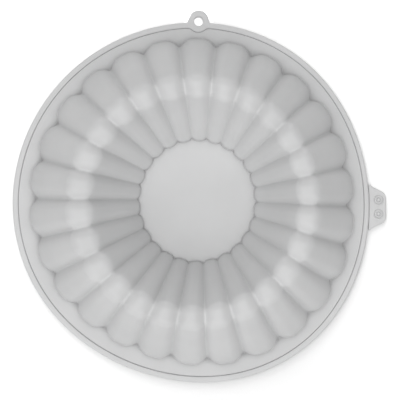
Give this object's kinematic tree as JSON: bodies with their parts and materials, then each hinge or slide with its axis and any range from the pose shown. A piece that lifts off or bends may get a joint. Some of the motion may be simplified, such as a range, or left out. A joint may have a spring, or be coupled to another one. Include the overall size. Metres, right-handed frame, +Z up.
{
  "type": "round silicone cake pan",
  "caption": "Round one-piece silicone cake pan turned over: fluted ring with grooves between rounded lobes, flat sunken centre, thick rim with hanging eye and bendable grip tab.",
  "frame": {"origin": "middle of the footprint's bounding box, on the surface the rim stands on", "axes": "+Z up through the fluted outside, the open side faces -Z; +Y towards the hanging eye; +X towards the grip tab"},
  "size_m": [0.2718, 0.2676, 0.064],
  "materials": {
    "silicone": "satin"
  },
  "bodies": {
    "pan": {"rim_band": "silicone", "hanging_eye": "silicone", "rim_flange": "silicone", "ring_outer_side": "silicone", "ring_inner_side": "silicone", "centre_disc": "silicone"},
    "tab": {"grip_tab": "silicone"}
  },
  "joints": [
    {"name": "tab_bend", "type": "hinge", "parent": "pan", "child": "tab", "pos_m": [0.12535, -0.00383, 0.001], "axis": [0, -1, 0], "range_deg": [0, 75], "stiffness_Nm_per_rad": 0.005}
  ]
}
